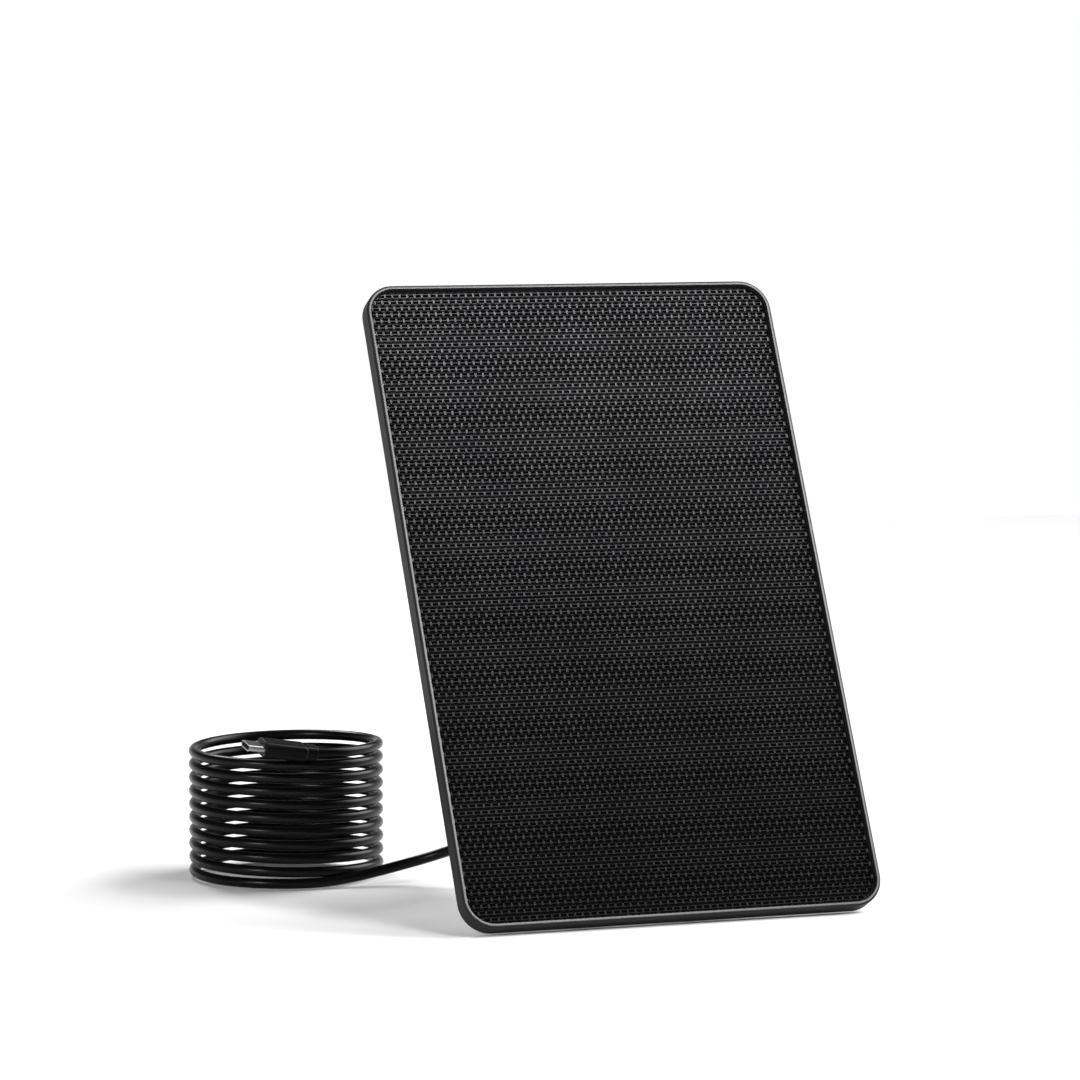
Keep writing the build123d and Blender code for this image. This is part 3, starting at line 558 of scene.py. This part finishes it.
start_clean()
bpy.ops.mesh.primitive_circle_add(vertices=6, radius=HEX_PITCH / 3 ** 0.5, fill_type="NGON")
film = bpy.context.object
film.name = film.data.name = "embossed_film"
bpy.ops.object.mode_set(mode="EDIT")
bpy.ops.mesh.select_all(action="SELECT")
bpy.ops.mesh.inset(thickness=RIDGE / 2, depth=0)
bpy.ops.mesh.inset(thickness=SLOPE, depth=-DIMPLE)
bpy.ops.object.mode_set(mode="OBJECT")
corner = max(film.data.vertices, key=lambda vertex: vertex.co.y)
print("dimple faces", len(film.data.polygons), "a corner points up:", abs(corner.co.x) < 1e-6)

across_count = int(FILM_W / HEX_PITCH) + 3
up_count = int(FILM_H / HEX_ROW / 2) + 2
array(film, 2, (HEX_PITCH / 2, HEX_ROW, 0))
array(film, across_count, (HEX_PITCH, 0, 0))
array(film, up_count, (0, 2 * HEX_ROW, 0))
to_middle = (-HEX_PITCH * (across_count // 2), -HEX_ROW * (up_count - 0.5), 0)
film.data.transform(Matrix.Translation(to_middle))
print("honeycomb", across_count, "by", 2 * up_count, "faces", len(film.data.polygons))

# %% Cut to the outline and close the underside
CORNER_CUTS = 8
half_w, half_h = FILM_W / 2 - FILM_PLAY, FILM_H / 2 - FILM_PLAY
cuts = [((half_w, 0), 0), ((0, half_h), 90), ((-half_w, 0), 180), ((0, -half_h), 270)]
for quarter in range(4):
    side = 1 if quarter in (0, 3) else -1
    end = 1 if quarter in (0, 1) else -1
    for k in range(CORNER_CUTS):
        turn = 90 * (quarter + (k + 0.5) / CORNER_CUTS)
        x = side * (half_w - FILM_R) + FILM_R * cos(radians(turn))
        y = end * (half_h - FILM_R) + FILM_R * sin(radians(turn))
        cuts.append(((x, y), turn))
bpy.ops.object.mode_set(mode="EDIT")
for place, turn in cuts:
    bpy.ops.mesh.select_all(action="SELECT")
    bpy.ops.mesh.bisect(
        plane_co=(*place, 0),
        plane_no=(cos(radians(turn)), sin(radians(turn)), 0),
        clear_outer=True,
    )
bpy.ops.mesh.select_all(action="SELECT")
bpy.ops.mesh.region_to_loop()
bpy.ops.mesh.extrude_region_move(TRANSFORM_OT_translate={"value": (0, 0, -FILM_T)})
bpy.ops.transform.resize(value=(1, 1, 0))
bpy.ops.mesh.edge_face_add()
bpy.ops.mesh.select_all(action="SELECT")
bpy.ops.mesh.normals_make_consistent(inside=False)
settle(film, slope @ Matrix.Translation((0, 0, FILM_TOP)), angle=10)
film.data.materials.clear()
film.data.materials.append(FILM)
print("film faces", len(film.data.polygons))

# %% [markdown]
# ## The fingers of the cells
#
# Thin silver fingers are printed across every cell, and they show through the clear film as fine
# level lines. The film here is not traced as glass, so the fingers lie where they seem to lie: on
# the floor of the dimples, and the ridges cross over them.

# %% Finger lines
FINGER_PITCH = 0.00137
FINGER_W = 0.0003
FINGER_T = 0.00003
SHOULDER = 0.0004  # bare border around the fingers
finger_count = int((FILM_H - 2 * SHOULDER) / FINGER_PITCH) + 1
start_clean()
bpy.ops.mesh.primitive_plane_add(size=1)
fingers = bpy.context.object
fingers.name = fingers.data.name = "cell_fingers"
floor_level = FILM_TOP - DIMPLE
bpy.ops.transform.resize(value=(FILM_W - 2 * SHOULDER, FINGER_W, 1))
bpy.ops.object.transform_apply(location=False, rotation=False, scale=True)
bpy.ops.object.mode_set(mode="EDIT")
bpy.ops.mesh.select_all(action="SELECT")
bpy.ops.mesh.extrude_region_move(TRANSFORM_OT_translate={"value": (0, 0, FINGER_T)})
bpy.ops.mesh.select_all(action="SELECT")
bpy.ops.mesh.normals_make_consistent(inside=False)
array(fingers, finger_count, (0, FINGER_PITCH, 0))
first = -FINGER_PITCH * (finger_count - 1) / 2
fingers.data.transform(Matrix.Translation((0, first, -FINGER_T / 2)))
bpy.ops.object.mode_set(mode="EDIT")
for place, turn in cuts[4:]:
    outward = Vector((cos(radians(turn)), sin(radians(turn)), 0))
    bpy.ops.mesh.select_all(action="SELECT")
    bpy.ops.mesh.bisect(
        plane_co=Vector((*place, 0)) - SHOULDER * outward,
        plane_no=outward,
        clear_outer=True,
    )
bpy.ops.mesh.select_all(action="SELECT")
bpy.ops.mesh.fill_holes(sides=8)
bpy.ops.mesh.dissolve_degenerate(threshold=0.000001)
bpy.ops.mesh.normals_make_consistent(inside=False)
settle(fingers, slope @ Matrix.Translation((0, 0, floor_level)))
fingers.data.materials.append(FINGER)
print("fingers", finger_count, "faces", len(fingers.data.polygons))

# %% [markdown]
# ## Finishes for the measured pieces
#
# The pieces whose shape is settled keep it and only take a finish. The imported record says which
# finish each piece was planned with, so one table from that name to a material dresses them all,
# except the plug's shell, which has its own steel with the seam.

# %% Dress the CAD pieces
finishes = {
    "rim_plastic": RIM, "cover_plastic": COVER, "laminate_film": FILM, "encapsulant": CLEAR,
    "silicon": SILICON, "tinned_copper": TIN, "circuit_board": BOARD, "sealant": SEAL,
    "gasket_rubber": GASKET, "bright_steel": STEEL, "brass": BRASS, "bracket_plastic": BRACKET,
    "bracket_metal": ANODISED, "nylon": NYLON, "component_body": TONGUE, "component_can": CAN,
    "wire_insulation": WIRE, "cord_jacket": JACKET, "plug_plastic": PLUG,
}
for subpart in frame["record"]["subparts"]:
    mesh = nodes[subpart["node"]].data
    mesh.materials.clear()
    seamed = subpart["node"] == "plug_shell"
    mesh.materials.append(SHELL if seamed else finishes[subpart["material_slot"]])
cord_curve.materials.append(JACKET)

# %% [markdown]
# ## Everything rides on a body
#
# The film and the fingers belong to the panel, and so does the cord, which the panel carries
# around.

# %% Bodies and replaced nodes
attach(film, "panel")
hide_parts("face_film")
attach(fingers, "panel")
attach(cord, "panel")
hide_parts("cord_lead", "cord_coil", "cord_tail")

# %% [markdown]
# ## Floor and light
#
# A pale floor and soft lights suit a black object: its shape is read from the soft reflections
# along its edges. The sky is white only near and below the horizon and dark overhead, so the
# black stays deep, and each softbox draws its own highlight. A wide sun from the right lays the
# soft shadow on the floor.

# %% Floor
FLOOR_SIZE = 3
start_clean()
bpy.ops.mesh.primitive_plane_add(size=FLOOR_SIZE, location=(0, 0, -0.0004))
floor = bpy.context.object
floor.name = "floor"
bpy.ops.object.transform_apply(location=True, rotation=False, scale=False)
bpy.ops.object.mode_set(mode="EDIT")
bpy.ops.mesh.select_all(action="SELECT")
bpy.ops.mesh.subdivide(number_cuts=3)
bpy.ops.object.mode_set(mode="OBJECT")
paper = Finish("floor_paper")
floor.data.materials.append(
    paper.surface(
        Base_Color=paper.mix(paper.noise(3), (0.86, 0.86, 0.86), (0.88, 0.88, 0.88)),
        Roughness=0.9,
        Specular_IOR_Level=0.0,
    )
)

# %% Lights and sky
def softbox(name, place, aim, size, power):
    data = bpy.data.lights.new(name, "AREA")
    data.shape = "SQUARE"
    data.size = size
    data.energy = power
    light = bpy.data.objects.new(name, data)
    light.location = place
    light.rotation_euler = (Vector(aim) - Vector(place)).to_track_quat("-Z", "Y").to_euler()
    bpy.context.scene.collection.objects.link(light)
    return light


softbox("key_softbox", (0.52, -0.93, 1.15), (0, 0, 0.1), 0.5, 12)
softbox("left_softbox", (-1.4, -0.9, 0.75), (-0.1, 0, 0.05), 0.35, 13)
softbox("right_softbox", (1.3, -0.7, 0.6), (-0.1, 0, 0.05), 0.25, 7)
softbox("back_softbox", (-0.2, 1.4, 1.3), (-0.1, 0, 0.05), 0.4, 12)

SUN_HEADING = Vector((-0.78, -0.08, -0.62))
sun_data = bpy.data.lights.new("overhead", "SUN")
sun_data.energy = 3.9
sun_data.angle = radians(48)
sun = bpy.data.objects.new("overhead", sun_data)
sun.rotation_euler = SUN_HEADING.to_track_quat("-Z", "Y").to_euler()
bpy.context.scene.collection.objects.link(sun)

SKY_LOW, SKY_HIGH = 0.06, 0.28  # the sky is white below the first height and dim above the second
SKY_DIM = 0.06
world = bpy.data.worlds.new("studio")
bpy.context.scene.world = world
world.use_nodes = True
sky = world.node_tree
direction = sky.nodes.new("ShaderNodeTexCoord")
split = sky.nodes.new("ShaderNodeSeparateXYZ")
ramp = sky.nodes.new("ShaderNodeMapRange")
sky.links.new(direction.outputs["Generated"], split.inputs[0])
sky.links.new(split.outputs["Z"], ramp.inputs["Value"])
ramp.inputs["From Min"].default_value = SKY_LOW
ramp.inputs["From Max"].default_value = SKY_HIGH
ramp.inputs["To Min"].default_value = 1.0
ramp.inputs["To Max"].default_value = SKY_DIM
sky.links.new(ramp.outputs["Result"], sky.nodes["Background"].inputs["Strength"])
sky.nodes["Background"].inputs["Color"].default_value = (1, 1, 1, 1)
bpy.context.scene.view_settings.view_transform = "Standard"
